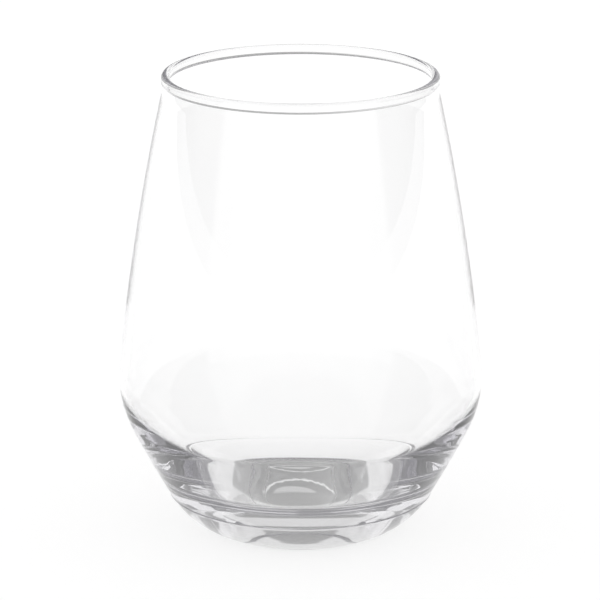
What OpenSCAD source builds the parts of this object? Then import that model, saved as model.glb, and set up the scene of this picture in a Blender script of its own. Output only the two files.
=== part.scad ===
/* Stemless wine glass: one continuous piece of clear glass, a solid of revolution about the Z axis.
   The outside is a chain of arcs that run into one another without a corner: side, belt, taper and
   heel. The bowl inside has a thin side wall and a rounded belt, then narrows in a straight run to a
   rounded corner, and falls in a short cone and a wide curve to a nearly flat floor, so the wall swells
   towards a thick bottom. A rolled bead closes the lip, and a steep-sided hollow under the foot leaves a
   flat ring that the glass stands on. */

/* [Overall] */
// Height from the table to the top of the lip
glass_h = 112; // [100:0.5:124]
// Outer diameter of the rolled lip
lip_d = 66.1; // [58:0.1:74]
// Outer diameter at the widest place, the belt
belt_d = 87.6; // [80:0.1:96]
// Height of the widest place above the table
belt_z = 38; // [34:0.5:44]
// Outer diameter of the ring that the glass stands on
foot_d = 41; // [36:0.5:48]

/* [Outside curves] */
// Radius of the long curve from the belt up to the lip
side_r = 610; // [300:5:1200]
// Radius of the tight curve round the belt
belt_r = 27; // [22:0.5:32]
// Radius of the nearly straight taper from the belt down to the heel
taper_r = 260; // [150:5:500]
// Radius of the rounded heel between the taper and the foot ring
heel_r = 20; // [17:0.5:24]
// Angle between the heel and the table where they meet, in degrees
heel_lift = 17.5; // [12:0.5:24]
// Height of the fine ridge that the mould leaves round the top of the heel
ridge_h = 0.08; // [0.04:0.02:0.2]
// Radius of that ridge's round top
ridge_r = 0.4; // [0.3:0.05:0.6]

/* [Lip] */
// Width of the rolled bead round the lip, whose top is a half circle
bead_d = 1.95; // [1.6:0.05:2.6]
// Height of the bead's upright outside, between its round top and the curve under it
bead_drop = 0.8; // [0.4:0.1:1.2]
// Radius of the curve under the bead
bead_low_r = 0.6; // [0.4:0.05:0.8]
// Thickness of the wall just under the bead, which stands out past it on the outside
lip_wall = 1.1; // [0.8:0.05:1.4]

/* [Bowl inside] */
// Thickness of the wall at the belt
belt_wall = 1.8; // [1.2:0.1:2.5]
// Height of the bowl's widest place above the table
bowl_belt_z = 37; // [34:0.5:42]
// Radius of the bowl's curve round its widest place
bowl_belt_r = 17; // [13:0.5:20]
// Diameter of the ring that the bowl's rounded corner is centred on
corner_d = 45; // [42:0.5:47]
// Height of that ring above the table
corner_z = 22.3; // [21:0.1:24]
// Radius of the rounded corner between the bowl's straight run and the cone that falls to its floor
corner_r = 10.7; // [9.5:0.1:11.5]
// Height of the middle of the bowl's floor above the table
floor_z = 5.2; // [4.2:0.1:6.5]
// Height by which the middle of the floor stands above the low ring round it
floor_rise = 0.2; // [0.1:0.05:0.4]
// Diameter of the low ring round the floor, where the rise to the cone begins
floor_d = 20; // [16:0.5:24]
// Radius of the wide curve between the floor and the cone
floor_edge_r = 12; // [10:0.5:14]

/* [Underside] */
// Width of the flat ring that the glass stands on
ring_w = 6; // [4:0.25:8]
// Depth of the hollow inside the foot ring, at its rounded edge
punt_h = 1; // [0.8:0.1:2]
// Height by which the middle of the hollow's ceiling stands above that edge
punt_rise = 0.1; // [0.05:0.05:0.5]
// Radius of that edge, between the steep wall of the hollow and its ceiling
punt_edge_r = 0.7; // [0.4:0.05:0.75]

/* [Hidden] */
$fn = 180;

// How far neighbouring curves cross one another, so that they never just touch
seam = glass_h / 100000;
// How far a hidden filling runs on into the shapes beside it
overrun = glass_h / 40;

// Lip: the middles of the bead's top and of the curve under it, and the outside of the wall beside them
bead_r = bead_d / 2;
bead_at = [lip_d / 2 - bead_r, glass_h - bead_r];
bead_low_at = [lip_d / 2 - bead_low_r, bead_at.y - bead_drop];
side_top = bead_at + [lip_wall - bead_r, 0];

// Outside: the middles of the belt and heel arcs, and of the long arcs that join them
belt_at = [belt_d / 2 - belt_r, belt_z];
heel_at = [foot_d / 2 - heel_r * sin(heel_lift), heel_r * cos(heel_lift)];
side_at = meet(belt_at, side_r - belt_r + seam, side_top, side_r);
taper_at = meet(heel_at, taper_r - heel_r + seam, belt_at, taper_r - belt_r + seam);
ridge_at = join(heel_at, heel_r + ridge_h - ridge_r, join(taper_at, taper_r, heel_at));

// Bowl: the middles of its arcs; the long side runs into the bead and thins evenly from the belt up
bowl_side_r = side_r - belt_wall;
bowl_belt_at = [belt_d / 2 - belt_wall - bowl_belt_r, bowl_belt_z];
bowl_side_at = meet(bowl_belt_at, bowl_side_r - bowl_belt_r + seam, bead_at, bowl_side_r + bead_r - seam);
corner_at = [corner_d / 2, corner_z];
floor_edge_at = [floor_d / 2, floor_z - floor_rise + floor_edge_r];

// Floor: the long arc that the low ring's curve runs into, with its middle under the glass
floor_r = inward(floor_edge_at, -floor_edge_r, floor_z);
floor_at = [0, floor_z - floor_r];

// Hollow under the foot: its rounded edge, and the long arc of the ceiling that this runs into
punt_wall = foot_d / 2 - ring_w;
punt_edge_at = [punt_wall - punt_edge_r, punt_h - punt_edge_r];
punt_r = inward(punt_edge_at, punt_edge_r, punt_h + punt_rise);
punt_at = [0, punt_h + punt_rise - punt_r];

// The place that lies at distance dp from p and dq from q, on the left of the way from p to q
function meet(p, dp, q, dq) =
    let (
        way = q - p,
        span = norm(way),
        along = (dp * dp - dq * dq + span * span) / (2 * span),
        aside = sqrt(dp * dp - along * along)
    )
    p + way * along / span + [-way.y, way.x] * aside / span;

// The place on a large arc where a small one runs into it, from their middles and the large radius
function join(large_at, large_r, small_at) =
    large_at + (small_at - large_at) * large_r / norm(small_at - large_at);

// Radius of the arc that tops out on the axis at a height and runs into a small arc, which lies inside
// it, or outside it where the small radius is given as negative
function inward(small_at, small_r, top_z) =
    let (fall = top_z - small_at.y)
    (small_at.x * small_at.x + fall * fall - small_r * small_r) / (2 * (fall - small_r));

// The direction in which a straight line that touches two arcs lies from their middles, on the left
function beside(p, p_r, q, q_r) =
    let (
        way = q - p,
        span = norm(way),
        lean_share = (p_r - q_r) / span
    )
    (way * lean_share + [-way.y, way.x] * sqrt(1 - lean_share * lean_share)) / span;

// Half outline between two heights, from the axis out to a long arc
module arc_band(at, r, low, high) {
    intersection() {
        translate([0, low]) square([at.x + r, high - low]);
        translate(at) circle(r);
    }
}

module disc(at, r) {
    translate(at) circle(r);
}

// The middle of the glass between two heights, which the discs leave open
module core(r, low, high) {
    translate([-overrun, low - overrun]) square([r + overrun, high - low + 2 * overrun]);
}

// Half outline of the outside, up to the height where the bowl's side runs into the bead
module outside(top_z) {
    side_end = join(side_at, side_r, belt_at);
    taper_top = join(taper_at, taper_r, belt_at);
    taper_end = join(taper_at, taper_r, heel_at);
    arc_band(side_at, side_r, side_end.y, top_z);
    arc_band(taper_at, taper_r, taper_end.y, taper_top.y);
    intersection() {
        square([belt_d, glass_h]);
        union() {
            disc(belt_at, belt_r);
            disc(heel_at, heel_r);
            disc(ridge_at, ridge_r);
            core(belt_at.x, taper_top.y, side_end.y);
            core(heel_at.x, 0, taper_end.y);
        }
    }
}

// Outline of the bowl's hollow, up to the lip
module bowl() {
    side_end = join(bowl_side_at, bowl_side_r, bowl_belt_at);
    run_side = beside(bowl_belt_at, bowl_belt_r, corner_at, corner_r);
    cone_side = beside(corner_at, corner_r, floor_edge_at, floor_edge_r);
    floor_edge = join(floor_edge_at, floor_edge_r - seam, floor_at);
    arc_band(bowl_side_at, bowl_side_r, side_end.y, glass_h);
    disc(bowl_belt_at, bowl_belt_r);
    disc(corner_at, corner_r);
    difference() {
        union() {
            disc(floor_edge_at, floor_edge_r);
            polygon([
                [0, side_end.y],
                [bowl_belt_at.x, side_end.y],
                bowl_belt_at + run_side * (bowl_belt_r - seam),
                corner_at + run_side * (corner_r - seam),
                corner_at + cone_side * (corner_r - seam),
                floor_edge_at + cone_side * (floor_edge_r - seam),
                floor_edge,
                [0, floor_edge.y]
            ]);
        }
        disc(floor_at, floor_r + seam);
    }
}

// Outline of the hollow under the foot
module punt() {
    ceiling_edge = join(punt_at, punt_r, punt_edge_at);
    intersection() {
        disc(punt_at, punt_r);
        translate([0, -overrun]) square([ceiling_edge.x, glass_h]);
    }
    disc(punt_edge_at, punt_edge_r);
    translate([0, -overrun]) square([punt_wall, punt_edge_at.y + overrun]);
}

// Half outline of the rolled bead
module bead() {
    disc(bead_at, bead_r);
    disc(bead_low_at, bead_low_r);
    translate([bead_at.x, bead_low_at.y]) square([bead_r - seam, bead_drop]);
}

// Half outline of the whole glass
module outline() {
    difference() {
        union() {
            outside(join(bowl_side_at, bowl_side_r, bead_at).y);
            bead();
        }
        bowl();
        punt();
    }
}

module glass() {
    color([0.93, 0.96, 0.96, 0.35]) rotate_extrude() outline();
}

glass();
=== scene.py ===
import math
import random

import bmesh
import bpy
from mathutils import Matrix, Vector


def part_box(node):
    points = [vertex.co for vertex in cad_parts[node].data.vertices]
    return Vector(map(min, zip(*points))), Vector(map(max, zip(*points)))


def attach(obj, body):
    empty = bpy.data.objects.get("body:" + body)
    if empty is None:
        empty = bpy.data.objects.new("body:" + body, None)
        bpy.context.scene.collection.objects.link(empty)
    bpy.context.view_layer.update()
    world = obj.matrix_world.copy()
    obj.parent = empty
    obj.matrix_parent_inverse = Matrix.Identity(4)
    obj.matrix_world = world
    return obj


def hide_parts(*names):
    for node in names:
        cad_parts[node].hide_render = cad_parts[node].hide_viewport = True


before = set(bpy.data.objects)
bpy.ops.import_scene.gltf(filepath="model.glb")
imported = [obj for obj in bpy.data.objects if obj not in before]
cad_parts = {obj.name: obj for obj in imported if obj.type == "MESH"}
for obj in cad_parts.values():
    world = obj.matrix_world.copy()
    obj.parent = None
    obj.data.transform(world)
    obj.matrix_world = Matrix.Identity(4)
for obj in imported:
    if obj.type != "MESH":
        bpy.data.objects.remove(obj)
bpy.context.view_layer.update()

MM = 0.001

# Overall sizes of the glass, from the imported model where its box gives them
LOW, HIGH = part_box("glass")
GLASS_H = HIGH.z
BELT_R = min(HIGH.x, HIGH.y, -LOW.x, -LOW.y)
LIP_R = 33.05 * MM
BELT_Z = 38 * MM
FOOT_R = 20.5 * MM

# Outside: radii of the long side, the belt, the taper and the heel, and the angle of heel and table
SIDE_CURVE = 610 * MM
BELT_CURVE = 27 * MM
TAPER_CURVE = 260 * MM
HEEL_CURVE = 20 * MM
HEEL_LIFT = math.radians(17.5)

# Fine ridge that the mould leaves where the taper meets the heel: its height and half its width
RIDGE_H = 0.15 * MM
RIDGE_W = 0.35 * MM

# Lip: the bead's round top, its upright side, the curve under it, the wall there and the crease's curve
BEAD_R = 0.975 * MM
BEAD_DROP = 0.8 * MM
BEAD_LOW_R = 0.6 * MM
LIP_WALL = 1.1 * MM
CREASE_CURVE = 0.2 * MM

# Bowl inside: the wall and curve at the belt, the rounded corner, and the floor with the curve round it
BELT_WALL = 1.8 * MM
BOWL_BELT_Z = 37 * MM
BOWL_BELT_CURVE = 17 * MM
CORNER_AT = Vector((22.5, 22.3)) * MM
CORNER_CURVE = 10.7 * MM
FLOOR_Z = 5.2 * MM
FLOOR_RISE = 0.2 * MM
FLOOR_R = 10 * MM
FLOOR_EDGE_CURVE = 12 * MM

# Underside: width of the flat ring, and height, rise and edge curve of the hollow inside it
RING_W = 6 * MM
PUNT_H = 1 * MM
PUNT_RISE = 0.1 * MM
PUNT_EDGE_CURVE = 0.7 * MM

# Fine ring on the hollow's ceiling, which is a guess: its radius, height and half its width
MARK_R = 9.2 * MM
MARK_H = 0.1 * MM
MARK_W = 0.3 * MM

# Faint waves of the pressed glass, a guess: they fade out up towards the belt and near the axis
WAVE_H = 0.008 * MM
WAVE_TOP = 34 * MM
WAVE_FADE = 6 * MM
WAVE_IN = 6 * MM

# Each wave's number of turns round the glass and its share, their lean in radians per metre, and a seed
WAVES = [(3, 0.35), (5, 0.25), (8, 0.2), (13, 0.2)]
WAVE_LEAN = 700
WAVE_SEED = 5

# Points round the glass, and the angle past which an edge is left sharp
TURN_STEPS = 360
SHARP_EDGE = math.radians(35)

# How far apart the outline's points lie in the bowl
FLOOR_STEP = 1 * MM
FLOOR_EDGE_STEP = 0.33 * MM
RUN_STEP = 2 * MM
CORNER_STEP = 0.3 * MM
BOWL_BELT_STEP = 0.7 * MM

# How far apart they lie at the lip and down the outside
BEAD_STEP = 0.13 * MM
BEAD_SIDE_STEP = 0.2 * MM
CREASE_STEP = 0.05 * MM
SIDE_STEP = 3 * MM
BELT_STEP = 0.8 * MM
TAPER_STEP = 1.5 * MM
FINE_STEP = 0.08 * MM
HEEL_STEP = 0.5 * MM

# How far apart they lie under the foot
RING_STEP = 2 * MM
PUNT_EDGE_STEP = 0.15 * MM
PUNT_OUTER_STEP = 0.9 * MM
PUNT_INNER_STEP = 1 * MM

# Clear soda-lime glass: how it bends light, and what it takes out of light along a way through it
GLASS_IOR = 1.52
GLASS_DEPTH_COLOUR = (0.28, 0.26, 0.34, 1)
GLASS_DEPTH_DENSITY = 4.5

# Floor: its radius and edges, how little it lies under the foot, its paint, and its glow where it is seen
FLOOR_REACH = 6
FLOOR_STEPS = 128
FLOOR_DROP = 0.02 * MM
FLOOR_PAINT = (0.3, 0.3, 0.3, 1)
FLOOR_GLOW = 0.75

# Shade and a lighter strip drawn on the floor under the foot, fitted to the photograph's own view
SHADE_DEPTH = 0.61
SHADE_SOFT = 0.4 * MM
STRIP_FAR_Y = -3.6 * MM
STRIP_NEAR_Y = -12.1 * MM
STRIP_SOFT = 0.9 * MM
STRIP_SHADE = 0.18

# In front of the strip the painted shade darkens the floor again within one radius and past another
DARK_WITHIN_R = 15 * MM
DARK_PAST_R = 18.6 * MM

# Thin bright arch of painted light drawn there too: its middle, half size, the line's width as a share of
# it, and light
ARCH_AT = (-0.4 * MM, 0.2 * MM)
ARCH_SIZE = (9.2 * MM, 4.75 * MM)
ARCH_W = 0.08
ARCH_LIGHT = 0.8

# Scale of the arch's roughness, the noise's middle value, and how far it moves the line
ARCH_NOISE = 900
NOISE_MIDDLE = 0.5
ARCH_ROUGH = 0.22

# Bright crescent of painted light drawn inside the arch: its middle, half size, where its edge fades, and
# its share
CRESCENT_AT = (-1.5 * MM, 1.2 * MM)
CRESCENT_SIZE = (6 * MM, 2 * MM)
CRESCENT_FULL = 0.8
CRESCENT_SHARE = 0.5

# Levels of the room as it is seen, fitted to the photograph: its grey, the panels and the dim sides
ROOM_LEVEL = 0.42
PANEL_LEVEL = 1
SIDE_LEVEL = 0.15

# Where the panels, the front and the sides lie, as parts of a direction of length 1
PANEL_IN = 0.28
PANEL_OUT = 0.56
PANEL_TOP = 0.42
PANEL_SOFT = 0.05
RIGHT_IN = 0.03
FRONT_IN = -0.3
FRONT_OUT = 0.88
SIDE_IN = 0.75

# Light of the room: degrees above the horizon and grey level
ROOM_LIGHTING = [(0, 2.2), (30, 2.2), (40, 0.38), (90, 0.38)]

# Camera: how far it looks down, its distance, the height it looks at, its lens and its view's shift
CAMERA_TILT = math.radians(15.8)
CAMERA_DISTANCE = 1.0
CAMERA_AIM_Z = 56.19 * MM
CAMERA_LENS = 249.9
CAMERA_SENSOR = 36
CAMERA_SHIFT = -0.001
CAMERA_NEAR = 0.01

# Most bounces of a ray, since light goes to and fro in the thick base
MOST_BOUNCES = 128


def turned_left(v):
    return Vector((-v.y, v.x))


def meet(p, from_p, q, from_q):
    """The place at distance from_p from p and from_q from q, on the left of the way from p to q."""
    way = q - p
    span = way.length
    along = (from_p**2 - from_q**2 + span**2) / (2 * span)
    aside = math.sqrt(from_p**2 - along**2)
    return p + way * along / span + turned_left(way) * aside / span


def join(large_at, large_r, small_at):
    """Where a small arc runs into a large one, from their middles and the large radius."""
    return large_at + (small_at - large_at).normalized() * large_r


def beside(p, p_r, q, q_r):
    """Direction from the middles of two arcs of a straight line that touches both, on the left."""
    way = q - p
    span = way.length
    lean = (p_r - q_r) / span
    return (way * lean + turned_left(way) * math.sqrt(1 - lean**2)) / span


def inward(small_at, small_r, top_z):
    """Radius of an arc that tops out on the axis at top_z and runs into a small arc, which lies inside it,
    or outside it where small_r is negative."""
    fall = top_z - small_at.y
    return (small_at.x**2 + fall**2 - small_r**2) / (2 * (fall - small_r))


def arc(middle, start, end, step):
    """Points from start to end the short way round middle, about step apart, without the last one."""
    first = math.atan2(start.y - middle.y, start.x - middle.x)
    last = math.atan2(end.y - middle.y, end.x - middle.x)
    sweep = (last - first + math.pi) % (2 * math.pi) - math.pi
    radius = (start - middle).length
    count = max(2, math.ceil(abs(sweep) * radius / step))
    turns = [first + sweep * i / count for i in range(count)]
    return [middle + Vector((math.cos(t), math.sin(t))) * radius for t in turns]


def line(start, end, step):
    """Points from start to end in a straight line, at most step apart, without the last one."""
    count = max(1, math.ceil((end - start).length / step))
    return [start.lerp(end, i / count) for i in range(count)]


def ridged(point, top, outward, height, half_w):
    """A point of the outline raised on a fine round ridge, whose top lies at a place."""
    away = min(1, (point - top).length / half_w)
    return point + outward * height * (1 + math.cos(math.pi * away)) / 2


def bowl_outline(bead_at):
    """Half outline of the bowl from the middle of its floor up to the bead, and its end."""
    side_r = SIDE_CURVE - BELT_WALL
    belt_at = Vector((BELT_R - BELT_WALL - BOWL_BELT_CURVE, BOWL_BELT_Z))
    side_at = meet(belt_at, side_r - BOWL_BELT_CURVE, bead_at, side_r + BEAD_R)
    edge_at = Vector((FLOOR_R, FLOOR_Z - FLOOR_RISE + FLOOR_EDGE_CURVE))
    floor_r = inward(edge_at, -FLOOR_EDGE_CURVE, FLOOR_Z)
    floor_at = Vector((0, FLOOR_Z - floor_r))
    run_side = beside(belt_at, BOWL_BELT_CURVE, CORNER_AT, CORNER_CURVE)
    cone_side = beside(CORNER_AT, CORNER_CURVE, edge_at, FLOOR_EDGE_CURVE)
    edge_low = join(floor_at, floor_r, edge_at)
    edge_top = edge_at + cone_side * FLOOR_EDGE_CURVE
    corner_low = CORNER_AT + cone_side * CORNER_CURVE
    corner_top = CORNER_AT + run_side * CORNER_CURVE
    belt_low = belt_at + run_side * BOWL_BELT_CURVE
    belt_top = join(side_at, side_r, belt_at)
    lip_low = join(side_at, side_r, bead_at)
    points = arc(floor_at, Vector((0, FLOOR_Z)), edge_low, FLOOR_STEP)
    points += arc(edge_at, edge_low, edge_top, FLOOR_EDGE_STEP)
    points += line(edge_top, corner_low, RUN_STEP)
    points += arc(CORNER_AT, corner_low, corner_top, CORNER_STEP)
    points += line(corner_top, belt_low, RUN_STEP)
    points += arc(belt_at, belt_low, belt_top, BOWL_BELT_STEP)
    points += arc(side_at, belt_top, lip_low, SIDE_STEP)
    return points, lip_low


def ridge_outline(taper_at, heel_at):
    """The mould's ridge on the outline, with where the taper runs into it and where the heel starts."""
    top = join(taper_at, TAPER_CURVE, heel_at)
    aside = turned_left(top - heel_at) * RIDGE_W / HEEL_CURVE
    high = join(taper_at, TAPER_CURVE, top + aside)
    low = join(heel_at, HEEL_CURVE, top - aside)
    plain = arc(taper_at, high, top, FINE_STEP) + arc(heel_at, top, low, FINE_STEP)
    outward = (top - heel_at).normalized()
    return high, [ridged(point, top, outward, RIDGE_H, RIDGE_W) for point in plain], low


def outside_outline(bead_at):
    """Half outline of the outside from the bead's upright side down to the flat ring, and its start."""
    belt_at = Vector((BELT_R - BELT_CURVE, BELT_Z))
    heel_at = Vector((FOOT_R - HEEL_CURVE * math.sin(HEEL_LIFT), HEEL_CURVE * math.cos(HEEL_LIFT)))
    wall_top = bead_at + Vector((LIP_WALL - BEAD_R, 0))
    side_at = meet(belt_at, SIDE_CURVE - BELT_CURVE, wall_top, SIDE_CURVE)
    taper_at = meet(heel_at, TAPER_CURVE - HEEL_CURVE, belt_at, TAPER_CURVE - BELT_CURVE)
    low_at = Vector((LIP_R - BEAD_LOW_R, bead_at.y - BEAD_DROP))
    crease_at = meet(low_at, BEAD_LOW_R + CREASE_CURVE, side_at, SIDE_CURVE + CREASE_CURVE)
    crease_top = join(low_at, BEAD_LOW_R, crease_at)
    crease_low = join(side_at, SIDE_CURVE, crease_at)
    belt_top = join(side_at, SIDE_CURVE, belt_at)
    belt_low = join(taper_at, TAPER_CURVE, belt_at)
    bead_side = bead_at + Vector((BEAD_R, 0))
    low_side = low_at + Vector((BEAD_LOW_R, 0))
    ridge_high, ridge, ridge_low = ridge_outline(taper_at, heel_at)
    points = line(bead_side, low_side, BEAD_SIDE_STEP)
    points += arc(low_at, low_side, crease_top, FINE_STEP)
    points += arc(crease_at, crease_top, crease_low, CREASE_STEP)
    points += arc(side_at, crease_low, belt_top, SIDE_STEP)
    points += arc(belt_at, belt_top, belt_low, BELT_STEP)
    points += arc(taper_at, belt_low, ridge_high, TAPER_STEP)
    points += ridge
    points += arc(heel_at, ridge_low, Vector((FOOT_R, 0)), HEEL_STEP)
    return points, bead_side


def underside_outline():
    """Half outline of the flat ring and the steep-sided hollow inside it, in to the axis."""
    wall_low = Vector((FOOT_R - RING_W, 0))
    edge_at = Vector((wall_low.x - PUNT_EDGE_CURVE, PUNT_H - PUNT_EDGE_CURVE))
    wall_top = Vector((wall_low.x, edge_at.y))
    top = Vector((0, PUNT_H + PUNT_RISE))
    punt_r = inward(edge_at, PUNT_EDGE_CURVE, top.y)
    punt_at = Vector((0, top.y - punt_r))
    edge_in = join(punt_at, punt_r, edge_at)
    mark = join(punt_at, punt_r, Vector((MARK_R, PUNT_H)))
    mark_out = join(punt_at, punt_r, Vector((MARK_R + MARK_W, PUNT_H)))
    mark_in = join(punt_at, punt_r, Vector((MARK_R - MARK_W, PUNT_H)))
    down = Vector((0, -1))
    points = line(Vector((FOOT_R, 0)), wall_low, RING_STEP)
    points += line(wall_low, wall_top, RING_STEP)
    points += arc(edge_at, wall_top, edge_in, PUNT_EDGE_STEP)
    points += arc(punt_at, edge_in, mark_out, PUNT_OUTER_STEP)
    near_mark = arc(punt_at, mark_out, mark_in, FINE_STEP)
    points += [ridged(point, mark, down, MARK_H, MARK_W) for point in near_mark]
    points += arc(punt_at, mark_in, top, PUNT_INNER_STEP)
    return points + [top]


def glass_outline():
    """Half outline of the whole glass, from the middle of the bowl's floor round to the underside's."""
    bead_at = Vector((LIP_R - BEAD_R, GLASS_H - BEAD_R))
    bowl, lip_low = bowl_outline(bead_at)
    outside, bead_side = outside_outline(bead_at)
    top = bead_at + Vector((0, BEAD_R))
    bead = arc(bead_at, lip_low, top, BEAD_STEP) + arc(bead_at, top, bead_side, BEAD_STEP)
    return bowl + bead + outside + underside_outline()


def smooth(share):
    """0 up to 0 and 1 from 1 on, with a smooth step between."""
    share = max(0, min(1, share))
    return share * share * (3 - 2 * share)


def waved(point, turn, starts):
    """How far the pressed glass stands out from its true round at a place of the outline and a turn."""
    if point.x < WAVE_IN:
        return 0
    height = WAVE_H * smooth((WAVE_TOP - point.y) / WAVE_FADE)
    lean = WAVE_LEAN * point.length
    swings = [share * math.sin(n * turn + start + lean) for (n, share), start in zip(WAVES, starts)]
    return height * sum(swings)


def turned_mesh(name, outline):
    """A closed mesh of the outline turned round the Z axis; its first and last points lie on the axis."""
    mesh = bmesh.new()
    rings = []
    seeded = random.Random(WAVE_SEED)
    starts = [seeded.uniform(0, 2 * math.pi) for _ in WAVES]
    turns = [2 * math.pi * i / TURN_STEPS for i in range(TURN_STEPS)]
    for point in outline[1:-1]:
        ring = []
        for t in turns:
            r = point.x + waved(point, t, starts)
            ring.append(mesh.verts.new((r * math.cos(t), r * math.sin(t), point.y)))
        rings.append(ring)
    first = mesh.verts.new((0, 0, outline[0].y))
    last = mesh.verts.new((0, 0, outline[-1].y))
    for i in range(TURN_STEPS):
        j = (i + 1) % TURN_STEPS
        mesh.faces.new((first, rings[0][i], rings[0][j]))
        for low, high in zip(rings, rings[1:]):
            mesh.faces.new((low[i], high[i], high[j], low[j]))
        mesh.faces.new((rings[-1][i], last, rings[-1][j]))
    bmesh.ops.recalc_face_normals(mesh, faces=mesh.faces)
    data = bpy.data.meshes.new(name)
    mesh.to_mesh(data)
    mesh.free()
    data.shade_smooth()
    data.set_sharp_from_angle(angle=SHARP_EDGE)
    piece = bpy.data.objects.new(name, data)
    bpy.context.scene.collection.objects.link(piece)
    return piece


def clear_glass():
    """Polished clear glass, which takes a little light out along a long way through it."""
    material = bpy.data.materials.new("clear_glass")
    material.use_nodes = True
    nodes, links = material.node_tree.nodes, material.node_tree.links
    shader = nodes["Principled BSDF"]
    shader.inputs["Base Color"].default_value = (1, 1, 1, 1)
    shader.inputs["Roughness"].default_value = 0
    shader.inputs["IOR"].default_value = GLASS_IOR
    shader.inputs["Transmission Weight"].default_value = 1
    depth = nodes.new("ShaderNodeVolumeAbsorption")
    depth.inputs["Color"].default_value = GLASS_DEPTH_COLOUR
    depth.inputs["Density"].default_value = GLASS_DEPTH_DENSITY
    links.new(depth.outputs["Volume"], nodes["Material Output"].inputs["Volume"])
    return material


def share_of(nodes, links, value, start, end):
    """0 up to start and 1 from end on, with a smooth step between."""
    share = nodes.new("ShaderNodeMapRange")
    share.interpolation_type = "SMOOTHSTEP"
    share.inputs["From Min"].default_value = start
    share.inputs["From Max"].default_value = end
    links.new(value, share.inputs["Value"])
    return share.outputs["Result"]


def worked_out(nodes, links, operation, *values):
    """A Math node's result for two or more inputs, each a number or another node's output. ABSOLUTE
    leaves its second input unused."""
    result = values[0]
    for value in values[1:]:
        node = nodes.new("ShaderNodeMath")
        node.operation = operation
        for socket, given in zip(node.inputs, (result, value)):
            if isinstance(given, (int, float)):
                socket.default_value = given
            else:
                links.new(given, socket)
        result = node.outputs[0]
    return result


def axes_of(nodes, links, place):
    """The X, Y and Z parts of a place or direction."""
    parts = nodes.new("ShaderNodeSeparateXYZ")
    links.new(place, parts.inputs[0])
    return parts.outputs["X"], parts.outputs["Y"], parts.outputs["Z"]


def seen(nodes, links):
    """1 for a ray from the camera, a mirror reflection or a refraction, and 0 for one that only lights."""
    path = nodes.new("ShaderNodeLightPath")
    camera = path.outputs["Is Camera Ray"]
    glossy = path.outputs["Is Glossy Ray"]
    through = path.outputs["Is Transmission Ray"]
    return worked_out(nodes, links, "MAXIMUM", camera, glossy, through)


def out_from(nodes, links, place, middle, half_size):
    """Way out from a middle on the floor: 0 there and 1 on an oval of the given half size."""
    offset = nodes.new("ShaderNodeVectorMath")
    offset.operation = "SUBTRACT"
    offset.inputs[1].default_value = (*middle, 0)
    links.new(place, offset.inputs[0])
    scaled = nodes.new("ShaderNodeVectorMath")
    scaled.operation = "DIVIDE"
    scaled.inputs[1].default_value = (*half_size, 1)
    links.new(offset.outputs[0], scaled.inputs[0])
    reach = nodes.new("ShaderNodeVectorMath")
    reach.operation = "LENGTH"
    links.new(scaled.outputs[0], reach.inputs[0])
    return reach.outputs["Value"]


def arch_line(nodes, links, place):
    """1 on the rough thin line of the painted bright arch, and 0 off it."""
    noise = nodes.new("ShaderNodeTexNoise")
    noise.inputs["Scale"].default_value = ARCH_NOISE
    links.new(place, noise.inputs["Vector"])
    swing = worked_out(nodes, links, "SUBTRACT", noise.outputs[0], NOISE_MIDDLE)
    rough = worked_out(nodes, links, "MULTIPLY", swing, ARCH_ROUGH)
    out = worked_out(nodes, links, "ADD", out_from(nodes, links, place, ARCH_AT, ARCH_SIZE), rough)
    away = worked_out(nodes, links, "ABSOLUTE", worked_out(nodes, links, "SUBTRACT", out, 1), 0)
    return share_of(nodes, links, away, ARCH_W, 0)


def painted_arch_light(nodes, links, place, along):
    """Light drawn on the floor to fit the photograph: the arch and a crescent in it. It isn't traced."""
    out = out_from(nodes, links, place, CRESCENT_AT, CRESCENT_SIZE)
    crescent = share_of(nodes, links, out, 1, CRESCENT_FULL)
    faint = worked_out(nodes, links, "MULTIPLY", crescent, CRESCENT_SHARE)
    both = worked_out(nodes, links, "MAXIMUM", arch_line(nodes, links, place), faint)
    start = CRESCENT_AT[1]
    back = share_of(nodes, links, along, start - SHADE_SOFT, start + SHADE_SOFT)
    return worked_out(nodes, links, "MULTIPLY", both, back, ARCH_LIGHT)


def painted_shade_under_foot(nodes, links):
    """Share of the floor's glow: painted shade under the foot, less of it on the strip, with the painted
    light of the arch and the crescent added.
    """
    place = nodes.new("ShaderNodeTexCoord").outputs["Object"]
    along = axes_of(nodes, links, place)[1]
    out = out_from(nodes, links, place, (0, 0), (1, 1))
    foot = share_of(nodes, links, out, FOOT_R + SHADE_SOFT, FOOT_R - SHADE_SOFT)
    far = share_of(nodes, links, along, STRIP_FAR_Y - STRIP_SOFT, STRIP_FAR_Y + STRIP_SOFT)
    near = share_of(nodes, links, along, STRIP_NEAR_Y + SHADE_SOFT, STRIP_NEAR_Y - SHADE_SOFT)
    within = share_of(nodes, links, out, DARK_WITHIN_R + SHADE_SOFT, DARK_WITHIN_R - SHADE_SOFT)
    past = share_of(nodes, links, out, DARK_PAST_R - SHADE_SOFT, DARK_PAST_R + SHADE_SOFT)
    front = worked_out(nodes, links, "MULTIPLY", near, worked_out(nodes, links, "MAXIMUM", within, past))
    dark = worked_out(nodes, links, "MAXIMUM", far, front, STRIP_SHADE)
    shade = worked_out(nodes, links, "MULTIPLY", foot, dark, SHADE_DEPTH)
    level = worked_out(nodes, links, "SUBTRACT", 1, shade)
    return worked_out(nodes, links, "ADD", level, painted_arch_light(nodes, links, place, along))


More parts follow.
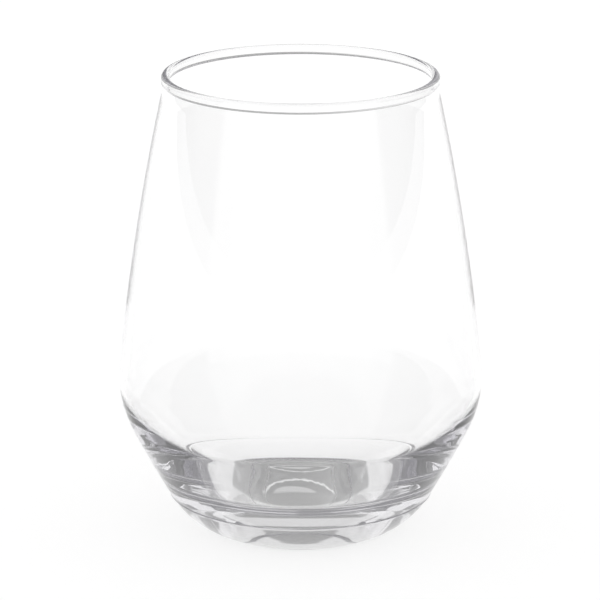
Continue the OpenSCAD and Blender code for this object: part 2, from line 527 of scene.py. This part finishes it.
def pale_floor():
    """Pale paint with a glow that only shows where the floor is seen, so that its shadow stays. Under the
    foot the glow carries painted shade and painted light.
    """
    material = bpy.data.materials.new("pale_floor")
    material.use_nodes = True
    nodes, links = material.node_tree.nodes, material.node_tree.links
    nodes.clear()
    paint = nodes.new("ShaderNodeBsdfDiffuse")
    paint.inputs["Color"].default_value = FLOOR_PAINT
    glow = nodes.new("ShaderNodeEmission")
    glow.inputs["Color"].default_value = (1, 1, 1, 1)
    share = painted_shade_under_foot(nodes, links)
    strength = worked_out(nodes, links, "MULTIPLY", share, FLOOR_GLOW, seen(nodes, links))
    links.new(strength, glow.inputs["Strength"])
    both = nodes.new("ShaderNodeAddShader")
    links.new(paint.outputs[0], both.inputs[0])
    links.new(glow.outputs[0], both.inputs[1])
    out = nodes.new("ShaderNodeOutputMaterial")
    links.new(both.outputs[0], out.inputs["Surface"])
    return material


def make_floor():
    """A large round floor under the glass."""
    mesh = bmesh.new()
    bmesh.ops.create_circle(mesh, cap_ends=True, segments=FLOOR_STEPS, radius=FLOOR_REACH)
    data = bpy.data.meshes.new("floor")
    mesh.to_mesh(data)
    mesh.free()
    data.materials.append(pale_floor())
    floor = bpy.data.objects.new("floor", data)
    floor.location.z = -FLOOR_DROP
    bpy.context.scene.collection.objects.link(floor)


def level_by_height(nodes, links, levels):
    """Grey levels of the room by the height above the horizon."""
    coordinates = nodes.new("ShaderNodeTexCoord")
    height = axes_of(nodes, links, coordinates.outputs["Generated"])[2]
    ramp = nodes.new("ShaderNodeValToRGB")
    links.new(height, ramp.inputs["Fac"])
    stops = ramp.color_ramp.elements
    while len(stops) > 1:
        stops.remove(stops[-1])
    for i, (angle, level) in enumerate(levels):
        place = math.sin(math.radians(angle))
        stop = stops[0] if i == 0 else stops.new(place)
        stop.position = place
        stop.color = (level, level, level, 1)
    return ramp.outputs["Color"]


def room_level(nodes, links):
    """How bright the room is seen: grey and dim at the sides, with a pale front and, behind the glass, a
    pale panel on either side, of which the right one reaches to the middle."""
    coordinates = nodes.new("ShaderNodeTexCoord")
    across, along, height = axes_of(nodes, links, coordinates.outputs["Generated"])
    aside = worked_out(nodes, links, "ABSOLUTE", across, 0)
    low = share_of(nodes, links, height, PANEL_TOP + PANEL_SOFT, PANEL_TOP)
    either = share_of(nodes, links, aside, PANEL_IN - PANEL_SOFT, PANEL_IN)
    right = share_of(nodes, links, across, RIGHT_IN - PANEL_SOFT, RIGHT_IN + PANEL_SOFT)
    inside = worked_out(nodes, links, "MAXIMUM", either, right)
    outside = share_of(nodes, links, aside, PANEL_OUT + PANEL_SOFT, PANEL_OUT)
    behind = share_of(nodes, links, along, 0, PANEL_SOFT)
    panels = worked_out(nodes, links, "MULTIPLY", inside, outside, behind, low)
    near = share_of(nodes, links, along, FRONT_IN, FRONT_IN - PANEL_SOFT)
    middle = share_of(nodes, links, aside, FRONT_OUT + PANEL_SOFT, FRONT_OUT)
    front = worked_out(nodes, links, "MULTIPLY", near, middle, low)
    pale = worked_out(nodes, links, "MAXIMUM", panels, front)
    more = worked_out(nodes, links, "MULTIPLY", pale, PANEL_LEVEL - ROOM_LEVEL)
    side = share_of(nodes, links, aside, SIDE_IN - PANEL_SOFT, SIDE_IN + PANEL_SOFT)
    less = worked_out(nodes, links, "MULTIPLY", side, ROOM_LEVEL - SIDE_LEVEL)
    return worked_out(nodes, links, "SUBTRACT", worked_out(nodes, links, "ADD", more, ROOM_LEVEL), less)


def make_room():
    """The room round the glass: what is seen of it, and what lights the floor."""
    world = bpy.data.worlds.new("room")
    bpy.context.scene.world = world
    world.use_nodes = True
    nodes, links = world.node_tree.nodes, world.node_tree.links
    nodes.clear()
    shown = nodes.new("ShaderNodeBackground")
    shown.inputs["Color"].default_value = (1, 1, 1, 1)
    links.new(room_level(nodes, links), shown.inputs["Strength"])
    lighting = nodes.new("ShaderNodeBackground")
    links.new(level_by_height(nodes, links, ROOM_LIGHTING), lighting.inputs["Color"])
    lighting.inputs["Strength"].default_value = 1
    pick = nodes.new("ShaderNodeMixShader")
    links.new(seen(nodes, links), pick.inputs["Fac"])
    links.new(lighting.outputs[0], pick.inputs[1])
    links.new(shown.outputs[0], pick.inputs[2])
    out = nodes.new("ShaderNodeOutputWorld")
    links.new(pick.outputs[0], out.inputs["Surface"])


def make_camera():
    """A long lens that looks down at the middle of the glass."""
    camera = bpy.data.objects.new("camera", bpy.data.cameras.new("camera"))
    bpy.context.scene.collection.objects.link(camera)
    back = CAMERA_DISTANCE * math.cos(CAMERA_TILT)
    up = CAMERA_DISTANCE * math.sin(CAMERA_TILT)
    camera.location = (0, -back, CAMERA_AIM_Z + up)
    camera.rotation_euler = (math.pi / 2 - CAMERA_TILT, 0, 0)
    camera.data.sensor_width = CAMERA_SENSOR
    camera.data.lens = CAMERA_LENS
    camera.data.shift_x = CAMERA_SHIFT
    camera.data.clip_start = CAMERA_NEAR
    bpy.context.scene.camera = camera


glass = turned_mesh("wine_glass", glass_outline())
glass.data.materials.append(clear_glass())
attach(glass, "root")
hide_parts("glass")
make_floor()
make_room()
make_camera()

scene = bpy.context.scene
scene.view_settings.view_transform = "Standard"
scene.cycles.max_bounces = MOST_BOUNCES
scene.cycles.transmission_bounces = MOST_BOUNCES
scene.cycles.glossy_bounces = MOST_BOUNCES
